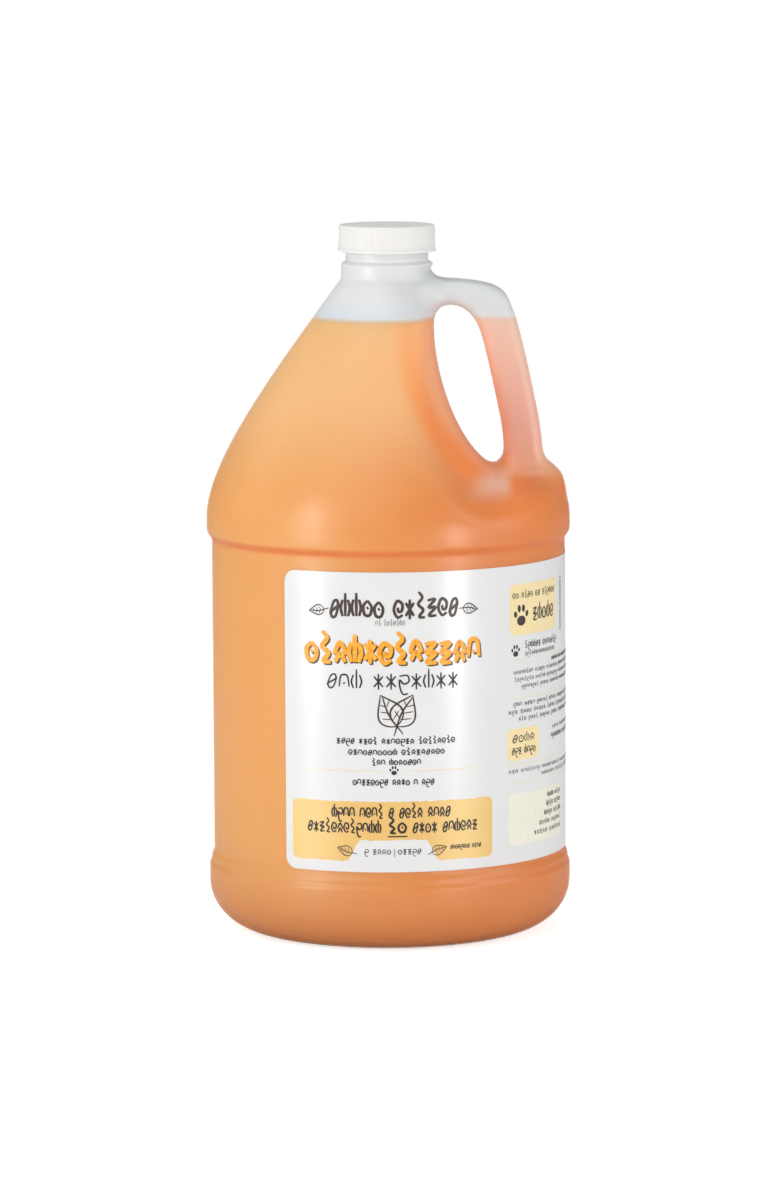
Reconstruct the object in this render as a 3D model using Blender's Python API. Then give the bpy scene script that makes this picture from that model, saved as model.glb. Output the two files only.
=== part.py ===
"""One-gallon shampoo jug: a blow-moulded bottle with a grip handle, its fill, a wrap-round label, and a screw cap
with a loose liner.

The jug stands on z = 0 with its axis on Z, and its handle lies in the XZ plane, on the +X side. Lengths below are in
millimetres, and new_object() turns them into metres. Revolved outlines are lists of (radius, height).
"""

import math

import bmesh
import bpy
from mathutils import Vector
from mathutils.geometry import interpolate_bezier

# ---- driving dimensions -------------------------------------------------------------------------------------------
WALL = 0.9  # blow-moulded wall
GAP = 0.3  # between pieces that touch
BULGE_R = 76.9  # the widest roll, below the shoulder
PANEL_R = 74.75  # the recessed label panel
FOOT_R = 76.7  # the base bumper
PANEL_LOW, PANEL_HIGH = 35.0, 164.4
FOOT_TOP = 28.0  # where the base bumper starts to step in
BULGE_LOW = 172.5  # where the step out to the roll ends
SHOULDER_LOW = 175.5
COLLAR_R, COLLAR_LOW, COLLAR_HIGH = 19.3, 275.2, 281.4
LIQUID_LEVEL = 259.0

# 38 mm neck finish with a single-start thread of 6 turns per inch
NECK_R, BORE_R = 17.4, 15.3
LIP_Z = 295.7
PITCH = 25.4 / 6
NECK_THREAD_DEPTH = 1.2
NECK_THREAD_LOW, NECK_THREAD_TURNS = 288.8, 1.15

CAP_TOP, CAP_BOTTOM = 298.7, 287.5
CAP_TOP_R, CAP_RIM_R = 20.25, 20.7
CAP_PLATE = 1.4  # thickness of the cap's top
CAP_BORE_R = 18.95
CAP_THREAD_DEPTH = 1.2
CAP_THREAD_TURNS = (0.41, 1.31)  # start and end, counted on the neck thread's helix
CAP_THREAD_DROP = 1.85  # how far the cap's ridge lies under the neck's
LINER_R, LINER_THICK = 18.5, 1.0

LABEL_START, LABEL_END = -35.0, 235.0  # degrees round the jug, from the front
LABEL_LOW, LABEL_HIGH = 35.4, 160.4
LABEL_THICK = 0.3
LABEL_CORNER = 5.0

# The grip: the pocket behind the handle, and the handle itself, drawn in the XZ plane
POCKET_DRAFT = math.tan(math.radians(12.5))  # both sides widen away from the mould's parting plane
POCKET_RIDGE = 6.0  # rounding of the ridge where the two sides meet
HANDLE_HALF_DEPTH = 12.5
HANDLE_BULK = 3.2  # superellipse exponent of the handle's section
HANDLE_SIDES = 14

FACETS = 48  # round the jug
THREAD_STEPS = 30  # per turn

MM = 0.001

HDPE = ("natural_hdpe", (0.86, 0.88, 0.90), 0.40)
SHAMPOO = ("orange_shampoo", (0.93, 0.47, 0.17), 0.25)
PAPER = ("printed_film", (0.92, 0.92, 0.91), 0.35)
WHITE_PP = ("white_polypropylene", (0.88, 0.88, 0.87), 0.40)
FOAM = ("white_foam", (0.85, 0.85, 0.83), 0.80)


# ---- helpers ------------------------------------------------------------------------------------------------------
def material(name, colour, roughness):
    """A plain material of that colour, made once."""
    found = bpy.data.materials.get(name)
    if found:
        return found
    made = bpy.data.materials.new(name)
    made.use_nodes = True
    shader = made.node_tree.nodes["Principled BSDF"]
    shader.inputs["Base Color"].default_value = (*colour, 1.0)
    shader.inputs["Roughness"].default_value = roughness
    shader.inputs["Metallic"].default_value = 0.0
    return made


def new_object(name, points, faces, finish):
    """A closed mesh object from points in millimetres, shaded smooth, with its faces pointing out."""
    mesh = bpy.data.meshes.new(name)
    mesh.from_pydata([Vector(p) * MM for p in points], [], faces)
    work = bmesh.new()
    work.from_mesh(mesh)
    bmesh.ops.recalc_face_normals(work, faces=work.faces)
    work.to_mesh(mesh)
    work.free()
    mesh.shade_smooth()
    mesh.set_sharp_from_angle(angle=math.radians(35))
    mesh.materials.append(material(*finish))
    obj = bpy.data.objects.new(name, mesh)
    bpy.context.scene.collection.objects.link(obj)
    return obj


def ring_faces(first, second, count):
    """The quads between two closed rings of points, given by the index of each ring's first point."""
    return [
        (first + i, first + (i + 1) % count, second + (i + 1) % count, second + i)
        for i in range(count)
    ]


def revolved(name, outline, finish, facets=FACETS):
    """A solid turned round Z. The outline runs from the axis to the axis, through points off it."""
    low, *middle, high = outline
    points = [(0, 0, low[1])]
    for radius, height in middle:
        for i in range(facets):
            turn = math.tau * i / facets
            points.append((radius * math.cos(turn), radius * math.sin(turn), height))
    points.append((0, 0, high[1]))
    top = len(points) - 1
    last = top - facets
    faces = [(0, 1 + (i + 1) % facets, 1 + i) for i in range(facets)]
    for k in range(len(middle) - 1):
        faces += ring_faces(1 + k * facets, 1 + (k + 1) * facets, facets)
    faces += [(top, last + i, last + (i + 1) % facets) for i in range(facets)]
    return new_object(name, points, faces, finish)


def lofted(name, rings, finish):
    """A solid through closed rings of equally many points, with flat ends."""
    count = len(rings[0])
    points = [p for ring in rings for p in ring]
    faces = [tuple(range(count)), tuple(range(len(points) - count, len(points)))]
    for k in range(len(rings) - 1):
        faces += ring_faces(k * count, (k + 1) * count, count)
    return new_object(name, points, faces, finish)


def combine(body, other, operation):
    """Applies a Boolean of two solids to the first, and removes the second."""
    modifier = body.modifiers.new(operation, "BOOLEAN")
    modifier.operation = operation
    modifier.object = other
    modifier.solver = "EXACT"
    graph = bpy.context.evaluated_depsgraph_get()
    mesh = bpy.data.meshes.new_from_object(body.evaluated_get(graph), depsgraph=graph)
    body.modifiers.clear()
    old = body.data
    body.data = mesh
    mesh.name = body.name
    bpy.data.objects.remove(other)
    bpy.data.meshes.remove(old)
    return body


def eased(start, end, share):
    """A value between start and end with a flat tangent at both."""
    return start + (end - start) * (0.5 - 0.5 * math.cos(math.pi * share))


def bezier(start, pull, push, end, count):
    """Points along a cubic curve in a plane."""
    flat = [Vector((*p, 0)) for p in (start, pull, push, end)]
    return [(p.x, p.y) for p in interpolate_bezier(*flat, count)]


# ---- the jug's skin, and the same skin moved inwards --------------------------------------------------------------
def lower_outline(inset):
    """From the push-up under the foot to the top of the roll."""
    ring_in, ring_out, push_up, heel = 46.0, 53.4, 5.0, 21.0
    outline = [(0, push_up), (30, push_up * 0.9), (40, push_up * 0.45), (ring_in, 0), (ring_out, 0)]
    for i in range(1, 6):
        turn = math.pi / 2 * i / 5
        outline.append((ring_out + (FOOT_R - ring_out) * math.sin(turn), heel * (1 - math.cos(turn))))
    for i in range(5):
        share = i / 4
        outline.append((eased(FOOT_R, PANEL_R, share), FOOT_TOP + (PANEL_LOW - FOOT_TOP) * share))
    for i in range(5):
        share = i / 4
        outline.append((eased(PANEL_R, BULGE_R, share), PANEL_HIGH + (BULGE_LOW - PANEL_HIGH) * share))
    return moved_in(outline, inset)


def shoulder_outline(inset):
    """From the top of the roll to the foot of the neck's collar."""
    curve = bezier((BULGE_R, SHOULDER_LOW), (BULGE_R, 199.7), (43.7, 242.8), (20.4, 274.6), 11)
    return moved_in(curve, inset)


def moved_in(outline, inset):
    """The outline moved to its inner side by inset, along the mean normal at each point."""
    if not inset:
        return outline
    moved = []
    for i, (radius, height) in enumerate(outline):
        before = Vector(outline[max(i - 1, 0)])
        after = Vector(outline[min(i + 1, len(outline) - 1)])
        along = (after - before).normalized()
        moved.append((max(radius - along.y * inset, 0), height + along.x * inset))
    return moved


def skin_outline(inset):
    """The turned outline of the jug without its grip. Inset 0 is the outside, WALL the cavity."""
    outline = lower_outline(inset) + shoulder_outline(inset)
    if inset:
        reach = LIP_Z + 5  # past the lip, so that the cavity opens the mouth
        return outline + [(BORE_R, COLLAR_LOW + 3), (BORE_R, reach), (0, reach)]
    step = COLLAR_HIGH + 1.9
    return outline + [
        (COLLAR_R, COLLAR_LOW),
        (COLLAR_R, COLLAR_HIGH),
        (COLLAR_R - 0.6, COLLAR_HIGH + 1.0),
        (NECK_R, step),
        (NECK_R, LIP_Z - 0.6),
        (NECK_R - 0.5, LIP_Z),
        (0, LIP_Z),
    ]


def pocket_edge(inset):
    """The pocket's wall and floor in the XZ plane, then a way round outside the jug."""
    wall = bezier((19.7, 259.0), (19.1, 233.4), (31.4, 202.9), (45.0, 196.9), 9)
    floor = [(58.0, 194.6), (69.0, 192.8), (74.0, 189.6), (77.0, 183.0)]
    edge = [(19.7, 282.0), (19.7, 271.0), *wall, *floor]
    outside = [(100.0, 181.0), (100.0, 282.0)]
    moved = []
    for i, point in enumerate(edge):
        before = Vector(edge[max(i - 1, 0)])
        after = Vector(edge[min(i + 1, len(edge) - 1)])
        along = (after - before).normalized()
        normal = Vector((along.y, -along.x))  # into the jug's material
        moved.append((Vector(point), normal, inset))
    moved += [(Vector(p), Vector((0, 0)), 0) for p in outside]
    return moved


def pocket_cutter(inset):
    """What the grip takes out of the shoulder: the pocket's outline, widening to the front and the back."""
    rings = []
    for depth in (-90, -45, -18, -6, 0, 6, 18, 45, 90):
        spread = POCKET_DRAFT * (math.hypot(depth, POCKET_RIDGE) - POCKET_RIDGE)
        ring = []
        for point, normal, shift in pocket_edge(inset):
            at = point + normal * (spread * normal.length + shift)
            ring.append((at.x, depth, at.y))
        rings.append(ring)
    return lofted("pocket_cutter", rings, HDPE)


def handle_core(inset):
    """The handle as a loft: each station has an outer and an inner point in the XZ plane."""
    stations = [
        ((9.0, 275.6), (9.0, 265.2)),
        ((20.0, 275.6), (20.0, 265.3)),
        ((30.0, 275.2), (28.5, 265.2)),
        ((38.5, 274.3), (33.2, 263.2)),
        ((45.5, 272.7), (36.2, 260.4)),
        ((50.0, 270.0), (38.2, 256.8)),
        ((52.4, 265.6), (39.8, 252.0)),
        ((55.0, 257.8), (41.5, 245.4)),
        ((58.5, 242.7), (44.0, 234.5)),
        ((61.6, 228.4), (46.4, 223.0)),
        ((64.1, 215.6), (48.1, 213.0)),
        ((65.8, 203.0), (48.9, 203.0)),
        ((66.3, 193.0), (47.9, 195.0)),
        ((66.3, 186.0), (46.0, 187.0)),
    ]
    rings = []
    for outer, inner in stations:
        across = (Vector(outer) - Vector(inner)) / 2
        middle = (Vector(outer) + Vector(inner)) / 2
        half_width = across.length - inset
        half_depth = HANDLE_HALF_DEPTH - inset
        ring = []
        for i in range(HANDLE_SIDES):
            turn = math.tau * (i + 0.5) / HANDLE_SIDES
            c, s = math.cos(turn), math.sin(turn)
            swell = (abs(c) ** HANDLE_BULK + abs(s) ** HANDLE_BULK) ** (-1 / HANDLE_BULK)
            at = middle + across.normalized() * (half_width * swell * c)
            ring.append((at.x, half_depth * swell * s, at.y))
        rings.append(ring)
    return lofted("handle_core", rings, HDPE)


def jug_skin(name, inset, finish):
    """The jug as a solid: turned body, less the grip pocket, with the handle joined on."""
    body = revolved(name, skin_outline(inset), finish)
    combine(body, pocket_cutter(inset), "DIFFERENCE")
    return combine(body, handle_core(inset), "UNION")


# ---- screw thread -------------------------------------------------------------------------------------------------
def thread_ridge(name, root_r, crest_r, start_z, turns, finish):
    """One helical ridge with a blunt trapezoid section, which fades into the wall at both ends.

    root_r lies inside the wall that carries the ridge. turns is the start and end of the ridge, in turns of a
    right-handed helix that passes through start_z at turn 0."""
    root_half, crest_half = 1.05, 0.45
    first, last = turns
    steps = round((last - first) * THREAD_STEPS)
    fade = 0.12  # of a turn, at each end
    rings = []
    for i in range(steps + 1):
        turn = first + (last - first) * i / steps
        height = min(1, (turn - first) / fade, (last - turn) / fade)
        crest = root_r + (crest_r - root_r) * (0.35 + 0.65 * height)
        z = start_z + PITCH * turn
        c, s = math.cos(math.tau * turn), math.sin(math.tau * turn)
        section = [(root_r, -root_half), (crest, -crest_half), (crest, crest_half), (root_r, root_half)]
        rings.append([(r * c, r * s, z + dz) for r, dz in section])
    return lofted(name, rings, finish)


# ---- the pieces ---------------------------------------------------------------------------------------------------
def make_jug_body():
    """The blow-moulded bottle in one piece: foot, panel, shoulder, hollow handle, collar and threaded neck."""
    body = jug_skin("jug_body", 0, HDPE)
    combine(body, jug_skin("cavity", WALL, HDPE), "DIFFERENCE")
    ridge = thread_ridge(
        "neck_ridge",
        NECK_R - 0.5,
        NECK_R + NECK_THREAD_DEPTH,
        NECK_THREAD_LOW,
        (0, NECK_THREAD_TURNS),
        HDPE,
    )
    return combine(body, ridge, "UNION")


def make_shampoo():
    """The fill: the cavity up to the liquid's level, clear of the wall."""
    fill = jug_skin("shampoo_fill", WALL + GAP, SHAMPOO)
    half = 100.0
    corners = [(-half, -half), (half, -half), (half, half), (-half, half)]
    rings = [[(x, y, z) for x, y in corners] for z in (LIQUID_LEVEL, LIP_Z + 20)]
    return combine(fill, lofted("air", rings, SHAMPOO), "DIFFERENCE")


def make_cap():
    """The screw cap: a plate and a skirt, with its own ridge inside."""
    inner_top = CAP_TOP - CAP_PLATE
    outline = [
        (0, inner_top),
        (CAP_BORE_R, inner_top),
        (CAP_BORE_R, CAP_BOTTOM + 0.5),
        (CAP_BORE_R + 0.4, CAP_BOTTOM),
        (CAP_RIM_R, CAP_BOTTOM),
        (CAP_RIM_R, CAP_BOTTOM + 1.0),
        (CAP_TOP_R + 0.1, CAP_BOTTOM + 1.8),
        (CAP_TOP_R, CAP_TOP - 0.9),
        (CAP_TOP_R - 0.3, CAP_TOP - 0.25),
        (CAP_TOP_R - 0.9, CAP_TOP),
        (0, CAP_TOP),
    ]
    cap = revolved("screw_cap", outline, WHITE_PP)
    ridge = thread_ridge(
        "cap_ridge",
        CAP_BORE_R + 0.5,
        CAP_BORE_R - CAP_THREAD_DEPTH,
        NECK_THREAD_LOW - CAP_THREAD_DROP,
        CAP_THREAD_TURNS,
        WHITE_PP,
    )
    return combine(cap, ridge, "UNION")


def make_liner():
    """The foam disc that seals on the lip, loose in the cap."""
    low = LIP_Z + GAP
    high = low + LINER_THICK
    return revolved("cap_liner", [(0, low), (LINER_R, low), (LINER_R, high), (0, high)], FOAM)


def make_label():
    """The wrap-round label: a thin bent sheet with round corners."""
    inner_r = PANEL_R + GAP
    radians_per_mm = 1 / inner_r
    start, end = math.radians(LABEL_START), math.radians(LABEL_END)
    corner_steps = 4
    corner = []  # distance from the label's end, and how much lower its edge is there
    for i in range(corner_steps):
        turn = math.pi / 2 * i / corner_steps
        corner.append((LABEL_CORNER * (1 - math.sin(turn)), LABEL_CORNER * (1 - math.cos(turn))))
    corner.sort()
    straight_start = start + LABEL_CORNER * radians_per_mm
    straight_end = end - LABEL_CORNER * radians_per_mm
    facets = round((straight_end - straight_start) / math.tau * FACETS)
    columns = [(start + distance * radians_per_mm, drop) for distance, drop in corner[:-1]]
    for i in range(facets + 1):
        columns.append((straight_start + (straight_end - straight_start) * i / facets, 0))
    columns += [(end - distance * radians_per_mm, drop) for distance, drop in reversed(corner[:-1])]
    rings = []
    for angle, drop in columns:
        low, high = LABEL_LOW + drop, LABEL_HIGH - drop
        around = angle - math.pi / 2  # the front is -Y
        c, s = math.cos(around), math.sin(around)
        section = [(inner_r, low), (inner_r + LABEL_THICK, low), (inner_r + LABEL_THICK, high), (inner_r, high)]
        rings.append([(r * c, r * s, z) for r, z in section])
    return lofted("wrap_label", rings, PAPER)


def build():
    """The whole object, in an empty scene."""
    for obj in list(bpy.data.objects):
        bpy.data.objects.remove(obj)
    make_jug_body()
    make_shampoo()
    make_label()
    make_liner()
    make_cap()


build()
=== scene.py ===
"""The looks of a one-gallon shampoo jug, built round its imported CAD.

The jug is milky HDPE over orange shampoo. Its skin is the zero of one smooth field, which blends a turned
body, the grip pocket and the handle; the foot, the panel and the threaded neck are lathe rings that join that
skin. Lengths are in millimetres until new_piece() turns them into metres, and places in the materials are in
metres. Z is up and the label's front is -Y.
"""

import math
import random

import bmesh
import bpy
import numpy as np
from mathutils import Matrix, Vector


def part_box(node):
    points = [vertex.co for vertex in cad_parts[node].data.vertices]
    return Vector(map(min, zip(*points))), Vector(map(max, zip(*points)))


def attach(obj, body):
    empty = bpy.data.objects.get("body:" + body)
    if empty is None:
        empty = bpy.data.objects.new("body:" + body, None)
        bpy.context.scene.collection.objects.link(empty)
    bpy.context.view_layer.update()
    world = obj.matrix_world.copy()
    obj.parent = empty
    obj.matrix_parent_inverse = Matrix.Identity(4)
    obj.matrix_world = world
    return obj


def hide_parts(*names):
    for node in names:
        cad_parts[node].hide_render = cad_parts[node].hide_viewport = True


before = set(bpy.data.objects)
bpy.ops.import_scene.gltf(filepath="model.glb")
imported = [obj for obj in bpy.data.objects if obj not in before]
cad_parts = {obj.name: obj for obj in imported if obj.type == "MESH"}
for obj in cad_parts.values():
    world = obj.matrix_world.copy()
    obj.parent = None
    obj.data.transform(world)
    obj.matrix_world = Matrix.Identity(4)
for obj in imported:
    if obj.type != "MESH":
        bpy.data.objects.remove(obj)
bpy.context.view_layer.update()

MM = 0.001


def reach(node):
    """A CAD node's lowest and highest corner, in millimetres."""
    low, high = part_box(node)
    return low / MM, high / MM


JUG_TOP = reach("jug_body")[1]
CAP_LOW, CAP_HIGH = reach("screw_cap")
LABEL_LOW, LABEL_HIGH = reach("wrap_label")
LINER_LOW, LINER_HIGH = reach("cap_liner")

# ---- the jug's measures, whose box, lip and level are its CAD's ---------------------------------------
BULGE_R = JUG_TOP.x  # the widest roll, below the shoulder
LIP_Z = JUG_TOP.z
LIQUID_Z = reach("shampoo_fill")[1].z
PANEL_R = BULGE_R - 2.15  # the recessed panel under the label
FOOT_R = BULGE_R - 0.2
WALL = 0.45  # the drawn skin, thinner than the real wall so that the shampoo reads at the outline
FILL_GAP = 0.1  # from the cavity's wall to the shampoo
COLLAR_R, NECK_R, BORE_R = 19.3, 17.4, 15.3
COLLAR_LOW, COLLAR_HIGH = LIP_Z - 20.5, LIP_Z - 14.3
LEDGE_LOW, LEDGE_HIGH = COLLAR_HIGH + 0.8, COLLAR_HIGH + 2.6  # the slope from the collar to the neck
LABEL_START, LABEL_END = -35.0, 235.0  # degrees round the jug from its front
FIRST_INK, SECOND_INK = (0.19, 0.015), (0.22, 0.015)  # lift off the panel, and thickness
PITCH = 25.4 / 6  # of the thread
NECK_THREAD_LOW, NECK_THREAD_TURNS, THREAD_DEPTH = LIP_Z - 6.9, 1.15, 1.2
CAP_THREAD_DROP, CAP_THREAD_START, CAP_THREAD_END = 1.85, 0.41, 1.31

HANDLE_HALF_DEPTH = 12.5
HANDLE_EDGE = 4.6  # radius of the handle's long edges
POCKET_DRAFT = math.tan(math.radians(12.5))
POCKET_RIDGE = 6.0
POCKET_SOFTNESS, JOINT_SOFTNESS = 8.0, 9.0  # how wide the pocket's edge and the handle's joints blend

COLUMNS = 288  # of mesh round the jug
CELL = 1.4
NET_LOW, NET_HIGH = 172.0, LIP_Z - 14.9  # where the skin comes from the field


# ---- curves -------------------------------------------------------------------------------------------
def through(points, steps):
    """A smooth open curve through the points (Catmull-Rom), with that many steps from each to the next."""
    p = np.array(points, float)
    p = np.vstack([2 * p[0] - p[1], p, 2 * p[-1] - p[-2]])
    share = np.arange(steps)[:, None] / steps
    runs = []
    for a, b, c, d in zip(p, p[1:], p[2:], p[3:]):
        bend = (2 * a - 5 * b + 4 * c - d) * share**2 + (3 * b - a - 3 * c + d) * share**3
        runs.append(b + ((c - a) * share + bend) / 2)
    return np.vstack([*runs, p[-2:-1]])


def bezier(start, pull, push, end, count):
    """Points along a cubic curve."""
    t = np.linspace(0, 1, count)[:, None]
    a, b, c, d = (np.array(p, float) for p in (start, pull, push, end))
    return a * (1 - t) ** 3 + 3 * b * t * (1 - t) ** 2 + 3 * c * t**2 * (1 - t) + d * t**3


def eased(start, end, count):
    """Points from start to end whose first coordinate changes gently at both ends."""
    share = np.linspace(0, 1, count)[:, None]
    (r0, z0), (r1, z1) = start, end
    return np.hstack([r0 + (r1 - r0) * (0.5 - 0.5 * np.cos(math.pi * share)), z0 + (z1 - z0) * share])


def arc(centre, radii, first, last, count):
    """An elliptical arc in the (radius, height) plane, between two angles in degrees from the radius axis."""
    turn = np.radians(np.linspace(first, last, count))
    return np.stack([centre[0] + radii[0] * np.cos(turn), centre[1] + radii[1] * np.sin(turn)], 1)


def moved_in(outline, inset):
    """The outline moved to its inner side by inset, along its normal at each point."""
    along = np.gradient(outline, axis=0)
    along /= np.linalg.norm(along, axis=1)[:, None]
    moved = outline + np.stack([-along[:, 1], along[:, 0]], 1) * inset
    return moved[moved[:, 0] > 0.5]


# ---- the jug's outlines, as (radius, height) from the foot up -----------------------------------------
def foot_outline():
    """From near the middle of the push-up to the widest roll."""
    push_up, ring_in, ring_out, heel = 5.0, 46.0, 53.4, 21.0
    rise = eased((ring_in, 0), (1.0, push_up), 24)
    under = np.stack([np.linspace(1.0, ring_in - 1, 24), rise[::-1, 0] * 0], 1)
    under[:, 1] = push_up * (0.5 + 0.5 * np.cos(math.pi * np.clip((under[:, 0] - 16) / (ring_in - 17), 0, 1)))
    ring = np.array([(ring_in, 0.0), ((ring_in + ring_out) / 2, 0.0)])
    bumper = arc((ring_out, heel), (FOOT_R - ring_out, heel), -90, 0, 30)
    side = np.array([(FOOT_R, z) for z in (23.5, 26.0)])
    bead = eased((FOOT_R, 27.5), (FOOT_R - 0.9, 30.4), 7)
    step = eased((FOOT_R - 0.9, 31.0), (PANEL_R, 34.6), 8)
    panel = np.array([(PANEL_R, z) for z in np.linspace(37, 164.5, 24)])
    roll = eased((PANEL_R, 166.0), (BULGE_R - 0.12, 170.3), 12)
    return np.vstack([under, ring, bumper, side, bead, step, panel, roll, [(BULGE_R, NET_LOW - 0.6)]])


SHOULDER = bezier((BULGE_R, NET_LOW + 3.5), (BULGE_R, 199.7), (43.7, 242.8), (20.4, COLLAR_LOW - 0.6), 160)
PROFILE = np.vstack([
    [(BULGE_R, NET_LOW - 9), (BULGE_R, NET_LOW)],
    SHOULDER,
    eased((COLLAR_R + 0.4, COLLAR_LOW + 0.2), (COLLAR_R, COLLAR_LOW + 1.0), 4),
    [(COLLAR_R, NET_HIGH + 9)],
])


def pocket_polygon():
    """What the grip takes out of the jug at the mould's parting plane, in the XZ plane."""
    wall = bezier((19.7, 259.0), (19.1, 233.4), (31.4, 202.9), (45.0, 196.9), 22)
    floor = through([(45.0, 196.9), (58.0, 195.4), (67.5, 196.6), (75.0, 194.6), (79.5, 187.0)], 5)
    return np.vstack([[(19.7, 400)], wall[:-1], floor, [(200, 182), (200, 400)]])


def handle_polygon():
    """The handle's outline in the XZ plane: its outer side from the neck to the roll, then its inner side
    back."""
    outer = [
        (9, 275.7), (20, 275.7), (30, 275.3), (38.5, 274.3), (45.5, 272.4), (49.9, 269.0),
        (52.5, 263.6), (55.0, 256.8), (58.5, 242.7), (61.5, 228.8), (64.1, 215.2), (65.4, 204),
        (65.8, 198.6), (68.0, 195.0), (70.8, 191.6), (70.8, 187.6), (67.0, 182),
    ]
    inner = [
        (46, 182), (48.6, 195), (49.0, 204), (48.1, 213.5), (46.2, 223.5), (43.9, 234.5),
        (41.3, 246.0), (39.4, 253.0), (37.2, 258.3), (33.6, 262.7), (28.5, 265.1), (20, 265.3),
        (9, 265.2),
    ]
    return np.vstack([through(outer, 4), through(inner, 4)])


# ---- the field ----------------------------------------------------------------------------------------
def polygon_distance(points, corners):
    """The distance in a plane from each point to a closed polygon, negative inside."""
    nearest = np.full(len(points), np.inf)
    inside = np.zeros(len(points), bool)
    for a, b in zip(corners, np.roll(corners, -1, axis=0)):
        edge, to = b - a, points - a
        share = np.clip((to @ edge) / (edge @ edge), 0, 1)
        gap = to - share[:, None] * edge
        nearest = np.minimum(nearest, gap[:, 0] ** 2 + gap[:, 1] ** 2)
        if a[1] != b[1]:
            beside = (a[1] > points[:, 1]) != (b[1] > points[:, 1])
            inside ^= beside & (points[:, 0] < a[0] + to[:, 1] * edge[0] / edge[1])
    return np.where(inside, -1, 1) * np.sqrt(nearest)


class SideView:
    """A polygon's distance in the XZ plane, worked out on a lattice and read between its points."""

    step = 0.5

    def __init__(self, corners):
        self.x0, self.z0 = -84.0, NET_LOW - 3
        across = np.arange(self.x0, 84.5, self.step)
        up = np.arange(self.z0, NET_HIGH + 4, self.step)
        lattice = np.stack(np.meshgrid(across, up, indexing="ij"), -1)
        self.table = polygon_distance(lattice.reshape(-1, 2), corners).reshape(lattice.shape[:2])

    def at(self, x, z):
        """The distance at points of the plane."""
        u, v = (x - self.x0) / self.step, (z - self.z0) / self.step
        i = np.clip(u.astype(int), 0, self.table.shape[0] - 2)
        j = np.clip(v.astype(int), 0, self.table.shape[1] - 2)
        u, v, t = u - i, v - j, self.table
        low = t[i, j] * (1 - u) + t[i + 1, j] * u
        high = t[i, j + 1] * (1 - u) + t[i + 1, j + 1] * u
        return low * (1 - v) + high * v


POCKET = SideView(pocket_polygon())
HANDLE = SideView(handle_polygon())
PROFILE_SLOPE = np.gradient(PROFILE[:, 0], PROFILE[:, 1])


def smooth_min(a, b, width):
    """The lesser of two fields, blended where they are within width of each other."""
    near = np.clip(1 - np.abs(a - b) / width, 0, None)
    return np.minimum(a, b) - near**2 * width / 4


def jug_field(points, inset):
    """The distance to the jug's skin moved in by inset, negative inside, between NET_LOW and NET_HIGH."""
    x, y, z = points.T
    radius = np.hypot(x, y)
    slope = np.interp(z, PROFILE[:, 1], PROFILE_SLOPE)
    turned = (radius - np.interp(z, PROFILE[:, 1], PROFILE[:, 0])) / np.hypot(1, slope) + inset
    if inset:
        bore = (radius - BORE_R - np.clip(COLLAR_LOW + 3.5 - z, 0, None)) * 0.7
        turned = -smooth_min(-turned, -bore, 2.0)
    widening = POCKET_DRAFT * (np.hypot(y, POCKET_RIDGE) - POCKET_RIDGE)
    pocket = POCKET.at(x, z) - widening
    body = -smooth_min(-turned, pocket - inset, POCKET_SOFTNESS)
    beside = HANDLE.at(x, z) + HANDLE_EDGE
    before = np.abs(y) - HANDLE_HALF_DEPTH + HANDLE_EDGE
    handle = np.hypot(np.clip(beside, 0, None), np.clip(before, 0, None))
    handle += np.clip(np.maximum(beside, before), None, 0) - HANDLE_EDGE + inset
    return smooth_min(body, handle, JOINT_SOFTNESS)


# ---- the net of quads over the field ------------------------------------------------------------------
def on_axes(grid):
    """Points from (angle, height, radius)."""
    angle, height, radius = grid[..., 0], grid[..., 1], grid[..., 2]
    return np.stack([radius * np.cos(angle), radius * np.sin(angle), height], -1)


def settled(points, field):
    """The points moved onto the field's zero along its slope."""
    step = 0.02
    for _ in range(4):
        slope = np.stack([(field(points + d) - field(points - d)) / (2 * step) for d in np.eye(3) * step], 1)
        share = np.clip(field(points) / (slope**2).sum(1), -2, 2)
        points = points - slope * share[:, None]
    return points


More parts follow.
